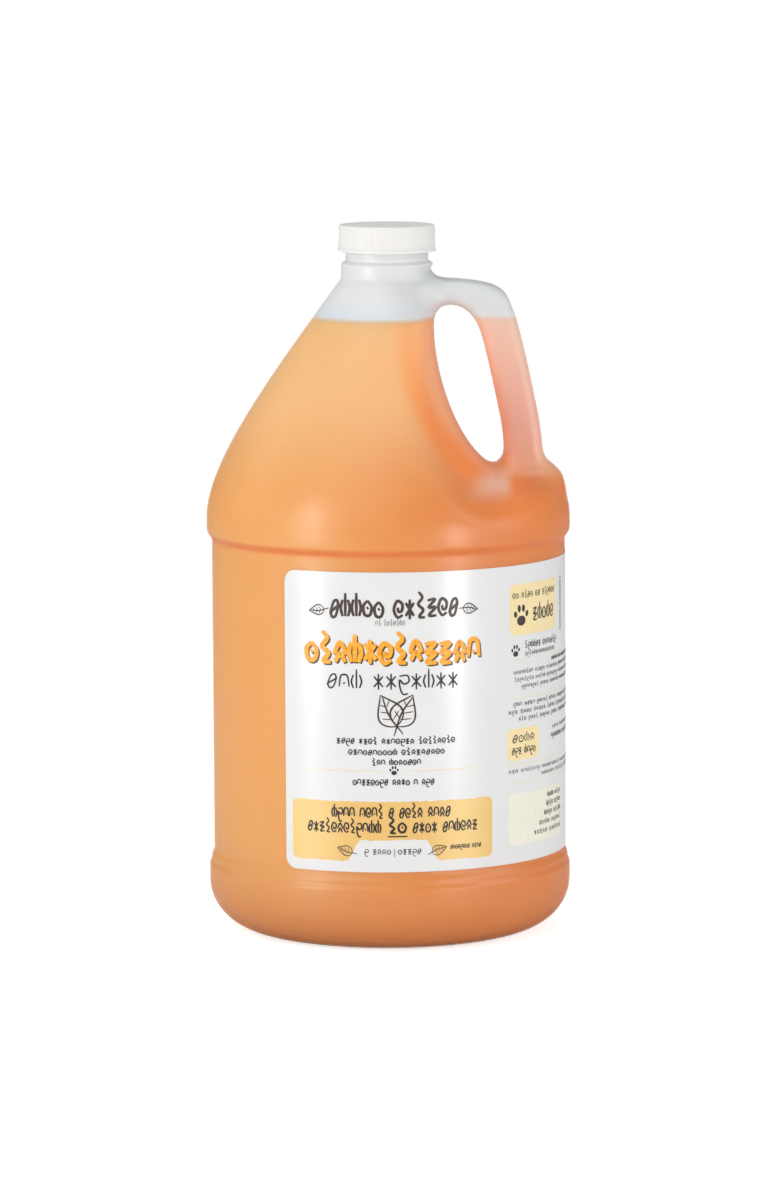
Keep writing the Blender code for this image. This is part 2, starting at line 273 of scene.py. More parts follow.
def net(field, low, high):
    """A net of quads over the field's zero, closed round Z and open at its lowest and highest ring.

    It is a surface net on a grid of angles, heights and radii: one point in each cell that the surface
    crosses, and a quad round each grid edge that it crosses. Returns points, quads, and the two end rings'
    point numbers."""
    angles = np.arange(COLUMNS + 1) * math.tau / COLUMNS
    heights = np.linspace(low, high, round((high - low) / CELL) + 1)
    radii = np.arange(12, 82, CELL)
    grid = np.stack(np.meshgrid(angles, heights, radii, indexing="ij"), -1)
    value = field(on_axes(grid[:-1]).reshape(-1, 3)).reshape(grid[:-1].shape[:3])
    value = np.concatenate([value, value[:1]])
    cells = tuple(n - 1 for n in value.shape)
    total, count = np.zeros((*cells, 3)), np.zeros(cells)
    crossed = []
    for axis in range(3):
        start = [slice(None)] * 3
        end = [slice(None)] * 3
        start[axis], end[axis] = slice(0, -1), slice(1, None)
        v0, v1 = value[tuple(start)], value[tuple(end)]
        cross = (v0 < 0) != (v1 < 0)
        crossed.append(cross)
        share = np.where(cross, v0 / np.where(cross, v0 - v1, 1), 0)[..., None]
        at = grid[tuple(start)] + (grid[tuple(end)] - grid[tuple(start)]) * share
        others = [a for a in range(3) if a != axis]
        for corner in ((0, 0), (0, 1), (1, 0), (1, 1)):
            part = [slice(None)] * 3
            for other, offset in zip(others, corner):
                part[other] = slice(offset, cells[other] + offset)
            hit = cross[tuple(part)]
            total += np.where(hit[..., None], at[tuple(part)], 0)
            count += hit
    used = count > 0
    number = np.full(cells, -1)
    number[used] = np.arange(used.sum())
    points = settled(on_axes(total[used] / count[used][:, None]), field)
    quads = []
    for axis, cross in enumerate(crossed):
        i, j, k = np.nonzero(cross)
        keep = i < cells[0]
        for other, index in ((1, j), (2, k)):
            if other != axis:
                keep &= (index > 0) & (index < cells[other])
        at = np.stack([i, j, k], 1)[keep]
        first, second = [a for a in range(3) if a != axis]
        corners = []
        for a, b in ((1, 1), (0, 1), (0, 0), (1, 0)):
            cell = at.copy()
            cell[:, first] -= a
            cell[:, second] -= b
            corners.append(number[cell[:, 0] % cells[0], cell[:, 1], cell[:, 2]])
        quads.append(np.stack(corners, 1))
    return points, np.vstack(quads), number[:, 0].max(axis=1), number[:, -1].max(axis=1)


# ---- meshes -------------------------------------------------------------------------------------------
class Shell:
    """A mesh in the making: points in millimetres and faces, put together from rings and nets."""

    def __init__(self):
        self.points, self.faces, self.count = [], [], 0

    def add(self, points):
        """Adds points and returns their numbers."""
        self.points.append(np.asarray(points, float).reshape(-1, 3))
        numbers = np.arange(self.count, self.count + len(self.points[-1]))
        self.count += len(numbers)
        return numbers

    def bridge(self, first, second):
        """Quads between two closed rings of as many points."""
        quads = np.stack([first, np.roll(first, -1), np.roll(second, -1), second], 1)
        self.faces += quads.tolist()

    def rings(self, grid, before=None):
        """A run of rings, given as (rings, columns, 3), bridged to each other and to the ring before. Returns
        the first and the last."""
        numbers = self.add(grid).reshape(len(grid), -1)
        for a, b in zip(numbers, numbers[1:]):
            self.bridge(a, b)
        if before is not None:
            self.bridge(before, numbers[0])
        return numbers[0], numbers[-1]

    def net(self, field, low, high):
        """A net over a field. Returns its lowest and its highest ring."""
        points, quads, bottom, top = net(field, low, high)
        numbers = self.add(points)
        self.faces += numbers[quads].tolist()
        return numbers[bottom], numbers[top]

    def cover(self, ring, height):
        """Closes a ring with a fan round a point on the axis."""
        centre = self.add([(0, 0, height)])[0]
        self.faces += [(a, b, centre) for a, b in zip(ring.tolist(), np.roll(ring, -1).tolist())]


def turned(outline, columns=COLUMNS, push=None):
    """Rings round Z from an outline of (radius, height). push gives what to add to the radius at angles and
    heights."""
    angle = (np.arange(columns) + 0.5) * math.tau / columns
    radius, height = np.asarray(outline, float).T[:, :, None]
    radius, height = radius + 0 * angle, height + 0 * angle
    angle = angle + 0 * radius
    if push is not None:
        radius = radius + push(angle, height)
    return on_axes(np.stack([angle, height, radius], -1))


def new_piece(name, points, faces, body, slot, materials, sharp=40):
    """An object with a smooth-shaded closed mesh, which rides on a CAD body."""
    mesh = bpy.data.meshes.new(name)
    mesh.from_pydata((np.asarray(points) * MM).tolist(), [], faces)
    work = bmesh.new()
    work.from_mesh(mesh)
    bmesh.ops.recalc_face_normals(work, faces=work.faces)
    work.to_mesh(mesh)
    work.free()
    mesh.shade_smooth()
    mesh.set_sharp_from_angle(angle=math.radians(sharp))
    for material in materials:
        mesh.materials.append(material)
    piece = bpy.data.objects.new(name, mesh)
    bpy.context.scene.collection.objects.link(piece)
    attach(piece, body)
    return piece


def shell_piece(name, shell, *args, **options):
    """new_piece from a Shell."""
    return new_piece(name, np.vstack(shell.points), shell.faces, *args, **options)


# ---- threads ------------------------------------------------------------------------------------------
def ridge(angle, height, low, first, last, root_half, crest_half):
    """How far a helical ridge stands up, from 0 to 1, at angles and heights. It passes low at turn 0."""
    stand = np.zeros_like(height)
    for lap in range(3):
        turn = angle / math.tau + lap
        off = np.abs(height - low - PITCH * turn)
        side = np.clip((root_half - off) / (root_half - crest_half), 0, 1)
        fade = np.clip(np.minimum(turn - first, last - turn) / 0.12, 0, 1)
        smooth = side * side * (3 - 2 * side)
        stand = np.maximum(stand, smooth * fade)
    return stand


def neck_push(angle, height):
    """The neck's own ridge."""
    return THREAD_DEPTH * ridge(angle, height, NECK_THREAD_LOW, 0, NECK_THREAD_TURNS, 1.15, 0.45)


def cap_push(angle, height):
    """The cap's ridge, which stands inwards and lies under the neck's."""
    low = NECK_THREAD_LOW - CAP_THREAD_DROP
    return -THREAD_DEPTH * ridge(angle, height, low, CAP_THREAD_START, CAP_THREAD_END, 0.9, 0.4)


# ---- materials ----------------------------------------------------------------------------------------
class Nodes:
    """Short names for building a material's nodes."""

    def __init__(self, name):
        self.material = bpy.data.materials.new(name)
        self.material.use_nodes = True
        self.tree = self.material.node_tree
        self.shader = self.tree.nodes["Principled BSDF"]
        self.place = self.tree.nodes.new("ShaderNodeTexCoord").outputs["Object"]

    def wire(self, target, source):
        """Links a socket, or sets it to a value."""
        if isinstance(source, bpy.types.NodeSocket):
            self.tree.links.new(source, target)
        else:
            target.default_value = source

    def node(self, kind, inputs=(), **settings):
        """A node with its settings and its inputs, by name or number. Returns its first output."""
        made = self.tree.nodes.new(kind)
        for key, value in settings.items():
            setattr(made, key, value)
        for key, value in dict(inputs).items():
            self.wire(made.inputs[key], value)
        return made.outputs[0]

    def maths(self, operation, *values):
        """A Math node."""
        return self.node("ShaderNodeMath", dict(enumerate(values)), operation=operation)

    def both(self, first, second):
        """Two shares multiplied."""
        return self.maths("MULTIPLY", first, second)

    def noise(self, scale, detail=3.0, stretch=(1, 1, 1)):
        """Noise over the object, of that many lumps to the metre."""
        at = self.node("ShaderNodeMapping", {"Vector": self.place, "Scale": stretch})
        return self.node("ShaderNodeTexNoise", {"Vector": at, "Scale": scale, "Detail": detail})

    def blend(self, share, first, second):
        """A colour between two."""
        return self.node("ShaderNodeMix", {0: share, 6: first, 7: second}, data_type="RGBA").node.outputs[2]

    def fade(self, value, low, high, first=0.0, last=1.0):
        """A value eased from first to last as the input goes from low to high."""
        inputs = {"Value": value, "From Min": low, "From Max": high, "To Min": first, "To Max": last}
        return self.node("ShaderNodeMapRange", inputs, interpolation_type="SMOOTHSTEP")

    def axis(self, name):
        """One coordinate of the place, in metres."""
        return self.node("ShaderNodeSeparateXYZ", {0: self.place}).node.outputs[name]

    def bump(self, height, strength, distance):
        """A bump on the shader's normal, with its distance in metres."""
        inputs = {"Height": height, "Strength": strength, "Distance": distance}
        self.wire(self.shader.inputs["Normal"], self.node("ShaderNodeBump", inputs))

    def set(self, **values):
        """Sets or links the shader's sockets, named with _ for a space."""
        for key, value in values.items():
            self.wire(self.shader.inputs[key.replace("_", " ")], value)
        return self.material


def rgb(red, green, blue):
    """A linear colour from 0-255 sRGB values."""
    linear = []
    for value in (red, green, blue):
        share = value / 255
        linear.append(share / 12.92 if share <= 0.04045 else ((share + 0.055) / 1.055) ** 2.4)
    return (*linear, 1.0)


def beside_pocket(n):
    """How far a place is past the pocket's wall in X: below 0 in the body, above 0 towards the handle."""
    depth = n.maths("MAXIMUM", n.maths("MULTIPLY_ADD", n.axis("Z"), -1 / 0.062, 0.259 / 0.062), 0.0)
    wall = n.maths("MULTIPLY_ADD", n.maths("POWER", depth, 2.2), 0.0253, 0.0197)
    return n.maths("SUBTRACT", n.axis("X"), wall)


def into_handle(n):
    """How far a place is past the handle's inner side in X."""
    return n.maths("ADD", n.axis("X"), n.maths("MULTIPLY_ADD", n.axis("Z"), 0.2, -0.0898))


def ring(n, height, width):
    """1 on a ring round the jug at a height, fading to 0 at that distance from it."""
    return n.fade(n.maths("ABSOLUTE", n.maths("SUBTRACT", n.axis("Z"), height)), 0.0, width, 1.0, 0.0)


def hdpe_material():
    """Milky, satin HDPE: see-through where shampoo wets it, thicker in the handle, and white where air is
    behind it.
    With painted light and shade: the wet part yellower on the left, redder on the right, darker at the foot and
    paler up the shoulder; painted shade along the pocket's front edge and under the widest roll; painted light
    in the grip's recess and a painted highlight on the pocket's floor below the handle; a painted glow along
    the handle's inner side; and, where dry, greyer to the right with a painted highlight on the neck's ledge."""
    n = Nodes("milky_hdpe")
    height, past = n.axis("Z"), beside_pocket(n)
    dry = n.fade(height, (LIQUID_Z - 0.3) * MM, (LIQUID_Z + 2.6) * MM)
    handle = n.both(n.fade(past, 0.004, 0.012), n.fade(height, 0.188, 0.214))
    above_roll = n.fade(height, 0.190, 0.200)
    # Painted light: a paler, more opaque peach in the grip's recess, which lies in shade.
    hollow_light = n.both(n.fade(past, -0.009, -0.002), above_roll)
    # Painted shade: a darker, more saturated orange band along the front edge of the grip pocket, weaker higher
    # up.
    off_fold_shade = n.maths("ABSOLUTE", n.maths("ADD", past, 0.011))
    fold_shade = n.both(n.fade(off_fold_shade, 0.001, 0.008, 1.0, 0.0), above_roll)
    fold_shade = n.both(fold_shade, n.fade(height, 0.205, 0.262, 1.0, 0.25))
    # Painted highlight: a pale catch light on the pocket's floor below the handle's opening.
    shelf_highlight = n.fade(n.axis("X"), 0.030, 0.046)
    shelf_highlight = n.both(shelf_highlight, n.fade(n.axis("X"), 0.048, 0.054, 1.0, 0.0))
    shelf_highlight = n.both(shelf_highlight, ring(n, 0.192, 0.0068))
    # Painted shade: a darker orange ring on the downward-facing slope under the widest roll.
    crease_shade = ring(n, 0.1678, 0.0030)
    edge = n.both(ring(n, LABEL_HIGH.z * MM, 0.004), n.fade(n.axis("X"), 0.066, 0.073))
    # Painted glow: a pale salmon layer and a faint emission along the handle's inner side, which is in shade.
    inner = n.both(n.fade(into_handle(n), -0.001, 0.006, 1.0, 0.0), handle)
    inner = n.both(inner, n.fade(height, 0.246, 0.257, 1.0, 0.0))
    cloud = n.noise(18.0, 2.0)
    alpha = n.maths("MULTIPLY_ADD", cloud, 0.04, n.fade(height, 0.185, 0.250, 0.46, 0.42))
    pale = n.blend(cloud, rgb(255, 212, 146), rgb(255, 218, 158))
    # Painted light and shade: yellower on the left, where the key light falls, redder on the right, darker
    # towards the foot and paler up the shoulder.
    low = n.blend(n.fade(n.axis("X"), -0.06, 0.05), rgb(252, 189, 110), rgb(244, 153, 80))
    low = n.blend(n.fade(height, 0.0, 0.045), rgb(232, 150, 80), low)
    colour = n.blend(n.fade(height, 0.185, 0.235), low, pale)
    salmon = n.blend(n.fade(height, 0.215, 0.262), rgb(252, 204, 186), rgb(250, 222, 202))
    layers = (
        (fold_shade, 0.5, rgb(255, 168, 90)),
        (hollow_light, 0.56, rgb(254, 202, 156)),
        (shelf_highlight, 0.68, rgb(250, 222, 202)),
        (crease_shade, 0.54, rgb(240, 136, 62)),
        (edge, 0.6, rgb(246, 160, 88)),
        (handle, 0.56, salmon),
        (inner, 0.78, rgb(255, 214, 196)),
    )
    for share, thick, tint in layers:
        alpha = n.node("ShaderNodeMix", {0: share, 2: alpha, 3: thick})
        colour = n.blend(share, colour, tint)
    air = n.blend(n.fade(height, LIQUID_Z * MM, 0.271), rgb(221, 231, 238), rgb(238, 238, 239))
    # Painted shade: the dry plastic greyer towards the right, away from the key light.
    air = n.blend(n.fade(n.axis("X"), -0.012, 0.020), air, rgb(226, 229, 231))
    # Painted highlight: a white ring on the neck's ledge, which the cap shades.
    air = n.blend(ring(n, (LEDGE_LOW + LEDGE_HIGH) / 2 * MM, 0.0018), air, rgb(255, 255, 255))
    alpha = n.node("ShaderNodeMix", {0: dry, 2: alpha, 3: 0.86})
    seam = n.fade(n.maths("ABSOLUTE", n.axis("Y")), 0.0, 0.00035, 1.0, 0.0)
    peel = n.maths("MULTIPLY_ADD", n.noise(420.0, 2.0), 0.25, seam)
    n.bump(peel, 0.35, 0.00012)
    rough = n.fade(n.noise(60.0, 4.0), 0.3, 0.7, 0.34, 0.41)
    return n.set(
        Base_Color=n.blend(dry, colour, air),
        Alpha=alpha,
        Roughness=rough,
        Specular_IOR_Level=0.8,
        # The emission is the painted glow along the handle's inner side.
        Emission_Color=(1.0, 0.60, 0.46, 1.0),
        Emission_Strength=n.both(inner, 0.10),
    )


def shampoo_material():
    """Cloudy orange shampoo, with painted light and shade: darker towards the bottom, paler up the shoulder and
    redder to the right, with a painted glow round the grip and a faint one all over."""
    n = Nodes("orange_shampoo")
    height = n.axis("Z")
    swirl = n.noise(9.0, 3.0, (1, 1, 0.6))
    # Painted shade and light: darker towards the bottom, paler up the shoulder, redder on the right, away from
    # the key light.
    colour = n.blend(n.fade(height, 0.01, 0.08), rgb(194, 126, 52), rgb(230, 162, 72))
    colour = n.blend(n.fade(height, 0.185, 0.25), colour, rgb(255, 200, 116))
    colour = n.blend(n.fade(n.axis("X"), -0.06, 0.07), colour, rgb(240, 134, 52))
    colour = n.blend(n.fade(swirl, 0.35, 0.75, 0.0, 0.3), colour, rgb(240, 150, 58))
    past = beside_pocket(n)
    # Painted glow: strongest in the body beside the grip pocket and weaker into the handle, with a faint
    # painted glow everywhere (the 0.04 below).
    painted_glow = n.both(n.fade(past, -0.024, -0.002), n.fade(height, 0.165, 0.195))
    painted_glow = n.both(painted_glow, n.fade(into_handle(n), 0.0, 0.010, 1.0, 0.25))
    return n.set(
        Base_Color=colour,
        Roughness=0.32,
        Coat_Weight=1.0,
        Coat_Roughness=0.36,
        Subsurface_Weight=1.0,
        Subsurface_Radius=(1.0, 0.45, 0.2),
        Subsurface_Scale=0.02,
        Emission_Color=(1.0, 0.38, 0.08, 1.0),
        Emission_Strength=n.maths("MULTIPLY_ADD", painted_glow, 0.30, 0.04),
    )


# ---- the jug and its shampoo --------------------------------------------------------------------------
def build_jug():
    """The blow-moulded jug: skin, cavity, neck and lip in one closed mesh."""
    shell = Shell()
    foot = foot_outline()
    first, last = shell.rings(turned(foot))
    shell.cover(first, foot[0, 1])
    low, high = shell.net(lambda p: jug_field(p, 0.0), NET_LOW, NET_HIGH)
    shell.bridge(last, low)
    lip = 0.5
    ledge = eased((COLLAR_R, LEDGE_LOW), (NECK_R, LEDGE_HIGH), 12)
    neck = np.array([(NECK_R, z) for z in np.arange(LEDGE_HIGH + 0.3, LIP_Z - lip, 0.3)])
    lip_out = arc((NECK_R - lip, LIP_Z - lip), (lip, lip), 0, 90, 5)
    lip_in = arc((BORE_R + lip, LIP_Z - lip), (-lip, lip), 90, 0, 5)
    bore = np.array([(BORE_R, z) for z in np.linspace(LIP_Z - lip - 2, NET_HIGH + 1, 4)])
    outline = np.vstack([ledge, neck, lip_out, lip_in, bore])
    threaded = turned(outline[: -len(bore) - len(lip_in)], push=neck_push)
    _, last = shell.rings(np.concatenate([threaded, turned(outline[-len(bore) - len(lip_in):])]), before=high)
    low, high = shell.net(lambda p: jug_field(p, WALL), NET_LOW, NET_HIGH)
    shell.bridge(last, high)
    inner = moved_in(foot, WALL)
    first, last = shell.rings(turned(inner))
    shell.bridge(last, low)
    shell.cover(first, inner[0, 1])
    jug = shell_piece("jug_skin", shell, "jug", "natural_hdpe", [hdpe_material()])
    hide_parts("jug_body")


def build_shampoo():
    """The shampoo: the cavity's shape up to the level, with a flat top in the jug and in the handle."""
    shell = Shell()
    inset = WALL + FILL_GAP
    outline = moved_in(foot_outline(), inset)
    first, last = shell.rings(turned(outline))
    shell.cover(first, outline[0, 1])
    low, _ = shell.net(lambda p: jug_field(p, inset), NET_LOW, LIQUID_Z + CELL / 2)
    shell.bridge(last, low)
    points = np.vstack(shell.points)
    mesh = bpy.data.meshes.new("fill")
    mesh.from_pydata(points.tolist(), [], shell.faces)
    work = bmesh.new()
    work.from_mesh(mesh)
    rims = [e for e in work.edges if e.is_boundary]
    for vert in {v for e in rims for v in e.verts}:
        vert.co.z = LIQUID_Z
    bmesh.ops.holes_fill(work, edges=rims, sides=0)
    flat = [f for f in work.faces if len(f.verts) > 4]
    bmesh.ops.triangulate(work, faces=flat)
    points = np.array([v.co for v in work.verts])
    faces = [[v.index for v in f.verts] for f in work.faces]
    work.free()
    fill = new_piece("shampoo", points, faces, "jug", "orange_shampoo", [shampoo_material()])
    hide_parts("shampoo_fill")


# ---- the label ----------------------------------------------------------------------------------------
# Invented marks, each of one to three strokes, in a box one small mark wide and high.
MARKS = (
    [[(0.95, 0.15), (0.4, 0.0), (0.0, 0.45), (0.35, 0.98), (0.9, 0.8), (0.85, 0.4), (0.5, 0.35), (0.42, 0.6)]],
    [[(0.0, 0.1), (0.15, 0.85), (0.5, 1.0), (0.85, 0.85), (1.0, 0.1)], [(0.42, 0.3), (0.58, 0.42)]],
    [[(0.25, 1.5), (0.65, 1.15), (0.2, 0.75), (0.75, 0.4), (0.3, 0.0), (0.95, -0.05)]],
    [[(0.0, 0.92), (0.85, 0.98), (0.12, 0.5), (0.9, 0.5), (0.15, 0.02), (1.0, 0.0)]],
    [[(0.1, 0.9), (0.85, 0.95), (1.0, 0.5), (0.5, 0.32), (0.1, 0.62), (0.15, 0.0), (0.45, -0.45), (0.9, -0.4)]],
    [[(0.0, 0.4), (0.5, 1.0), (1.0, 0.4)], [(0.1, 0.0), (0.5, 0.45), (0.9, 0.0)]],
    [[(0.0, 0.2), (0.4, 0.9), (0.8, 1.0), (0.9, 0.7), (0.5, 0.5), (0.1, 0.3), (0.25, 0.0), (0.65, 0.1),
      (1.0, 0.8)]],
    [[(0.2, 1.0), (0.0, 0.5), (0.2, 0.0)], [(0.5, 1.4), (0.5, 0.0)], [(0.8, 1.0), (1.0, 0.5), (0.8, 0.0)]],
    [[(0.5, 0.95), (0.05, 0.6), (0.2, 0.1), (0.75, 0.08), (0.95, 0.55), (0.5, 0.95)],
     [(0.42, 0.46), (0.6, 0.54)]],
    [[(0.05, 0.9), (0.95, 0.1)], [(0.05, 0.1), (0.95, 0.9)], [(0.5, 1.1), (0.5, -0.1)]],
)


class Print(Shell):
    """Thin closed strips wrapped round the jug's panel. Their places are (distance round the jug from its
    front, height), and the strips lie between two radii."""

    def __init__(self, lift, thick):
        super().__init__()
        self.low, self.high = PANEL_R + lift, PANEL_R + lift + thick

    def wrap(self, places, radius):
        """Points on the cylinder of that radius."""
        around, height = np.asarray(places, float).T
        angle = around / PANEL_R - math.pi / 2
        return np.stack([radius * np.cos(angle), radius * np.sin(angle), height], 1)

    def strip(self, lower, upper):
        """A closed strip between two edges of as many places."""
        sides = [self.wrap(lower, self.low), self.wrap(upper, self.low)]
        sides += [self.wrap(upper, self.high), self.wrap(lower, self.high)]
        numbers = self.add(np.stack(sides, 1)).reshape(-1, 4)
        for a, b in zip(numbers, numbers[1:]):
            self.bridge(a, b)
        self.faces += [numbers[0].tolist(), numbers[-1].tolist()]

    def line(self, path, width, taper=0.5):
        """A stroke along a path, narrower at its two ends."""
        path = np.asarray(path, float)
        along = np.gradient(path, axis=0)
        across = np.stack([-along[:, 1], along[:, 0]], 1) / np.linalg.norm(along, axis=1)[:, None]
        share = np.linspace(0, 1, len(path))
        half = width / 2 * (1 - taper + taper * np.sin(math.pi * share) ** 0.5)
        self.strip(path - across * half[:, None], path + across * half[:, None])

    def oval(self, centre, across, high, lean=0.0):
        """A filled ellipse, sheared sideways by lean."""
        turn = np.linspace(0.03, math.pi - 0.03, 12)
        x = -across * np.cos(turn)
        lower = np.stack([centre[0] + x, centre[1] - high * np.sin(turn) + lean * x], 1)
        upper = np.stack([centre[0] + x, centre[1] + high * np.sin(turn) + lean * x], 1)
        self.strip(lower, upper)

    def paw(self, centre, size):
        """A paw print: a pad and four toes."""
        self.oval((centre[0], centre[1] - 0.2 * size), 0.30 * size, 0.24 * size)
        toes = ((-0.40, 0.12, 0.15), (-0.15, 0.38, 0.18), (0.15, 0.38, 0.18), (0.40, 0.12, 0.15))
        for across, up, tall in toes:
            toe = (centre[0] + across * size, centre[1] + up * size)
            self.oval(toe, 0.11 * size, tall * size, across * 0.5)

    def leaf(self, stem, tip, width, fat=0.36):
        """A leaf in line: two sides, a midrib with its stalk, and veins."""
        stem, tip = np.array(stem, float), np.array(tip, float)
        along = tip - stem
        across = np.array([-along[1], along[0]])
        share = np.linspace(0, 1, 14)[:, None]
        for side in (-1, 1):
            bow = side * fat * np.sin(math.pi * share**0.8) * (1 - 0.45 * share)
            self.line(stem + along * share + across * bow, width)
            for start in (0.22, 0.42, 0.62):
                bend = np.linspace(0, 1, 5)[:, None]
                spread = side * fat * (0.72 - 0.5 * start) * bend
                vein = stem + along * (start + 0.16 * bend) + across * spread
                self.line(vein, width * 0.6)
        rib = np.linspace(-0.28, 0.97, 12)[:, None]
        self.line(stem + along * rib + across * 0.05 * np.sin(4 * rib), width)

    def torn(self, left, right, low, high, rough, seed, notch=None):
        """A patch with torn edges. notch is (start, end, height) of a bite in its lower edge."""
        wobble = random.Random(seed)
        around = np.linspace(left, right, max(12, round((right - left) / 0.9)))
        inset = np.clip(np.minimum(around - left, right - around) / 2.2, 0, 1)
        corner = 2.0 * (1 - np.sqrt(1 - (1 - inset) ** 2))
        lower = low + corner + [wobble.uniform(-rough, rough) for _ in around]
        upper = high - corner + [wobble.uniform(-rough, rough) for _ in around]
        if notch:
            start, end, top = notch
            bite = np.clip(np.minimum(around - start, end - around) / 6.0, 0, 1)
            lower += (top - low) * bite * bite * (3 - 2 * bite)
        self.strip(np.stack([around, lower], 1), np.stack([around, upper], 1))

    def scrawl(self, left, right, base, height, width, seed, words, steps=2, hop=0.0, shift=(0, 0)):
        """A line of made-up marks that spell nothing, in words of so many marks, stretched to reach from left
        to right. height is a small mark's, and hop is how far marks jump off the line."""
        wobble = random.Random(seed)
        gaps = len(words) - 1
        pitch = (right - left) / (sum(words) + 0.75 * gaps)
        at = left
        for count in words:
            for _ in range(count):
                up = base + wobble.uniform(-hop, hop) * height
                for stroke in wobble.choice(MARKS):
                    path = through(stroke, steps) * (0.82 * pitch, height)
                    self.line(path + (at + shift[0], up + shift[1]), width, 0.25)
                at += pitch
            at += 0.75 * pitch

    def piece(self, name, material):
        """The print as a piece on the jug."""
        return shell_piece(name, self, "jug", "printed_film", [material], sharp=60)


def ink(name, colour, other, roughness=0.42):
    """Printed ink, a little uneven in its colour and its sheen."""
    n = Nodes(name)
    speckle = n.noise(700.0, 2.0)
    colour = n.blend(n.fade(speckle, 0.35, 0.7), colour, other)
    return n.set(Base_Color=colour, Roughness=n.fade(speckle, 0.2, 0.8, roughness - 0.05, roughness + 0.05))


def gold_ink():
    """Gold ink, with two soft painted highlights as paler vertical bands."""
    n = Nodes("gold_ink")
    across = n.axis("X")
    # Painted highlights: two pale vertical bands where the side lights reflect off the label.
    left = n.fade(n.maths("ABSOLUTE", n.maths("ADD", across, 0.034)), 0.0, 0.022, 1.0, 0.0)
    right = n.fade(n.maths("ABSOLUTE", n.maths("SUBTRACT", across, 0.031)), 0.0, 0.018, 1.0, 0.0)
    pale = n.maths("MAXIMUM", left, right)
    grain = n.noise(900.0, 2.0, (1, 1, 0.15))
    base = n.blend(grain, rgb(226, 182, 104), rgb(234, 192, 118))
    return n.set(Base_Color=n.blend(pale, base, rgb(240, 204, 132)), Roughness=0.34)


def film_material():
    """White label film with a faint waviness from being wrapped on."""
    n = Nodes("label_film")
    lay = n.noise(30.0, 2.0, (1, 1, 0.25))
    grain = n.noise(900.0, 2.0)
    n.bump(n.maths("MULTIPLY_ADD", grain, 0.06, lay), 0.25, 0.00006)
    tint = n.blend(lay, rgb(224, 224, 225), rgb(226, 226, 225))
    return n.set(Base_Color=tint, Roughness=0.275, Specular_IOR_Level=0.7)


